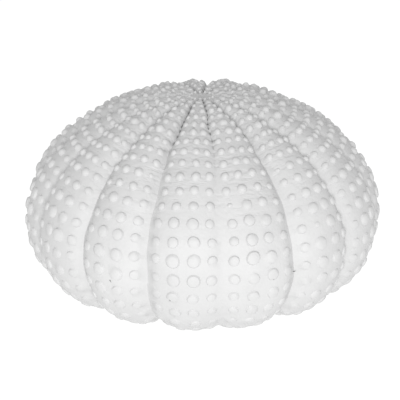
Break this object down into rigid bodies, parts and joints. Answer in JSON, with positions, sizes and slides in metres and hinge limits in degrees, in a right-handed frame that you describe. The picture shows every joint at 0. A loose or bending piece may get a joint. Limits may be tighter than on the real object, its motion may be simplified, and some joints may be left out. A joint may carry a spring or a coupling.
{
  "type": "sea urchin shell",
  "caption": "Bleached sea urchin shell: a hollow flattened globe with ribs, rows of round knobs and a mouth hole underneath. Rests on its base as a display piece.",
  "frame": {"origin": "middle of the base, on the surface that the shell rests on", "axes": "+Z from the mouth on the base up to the crown; -Y is the middle of one of the five broad fields, and X = 0 is a plane of symmetry"},
  "size_m": [0.1104, 0.1103, 0.0597],
  "materials": {
    "bleached_shell": "matt, bleached white, fine-grained"
  },
  "bodies": {
    "root": {"urchin_shell": "bleached_shell"}
  },
  "joints": []
}
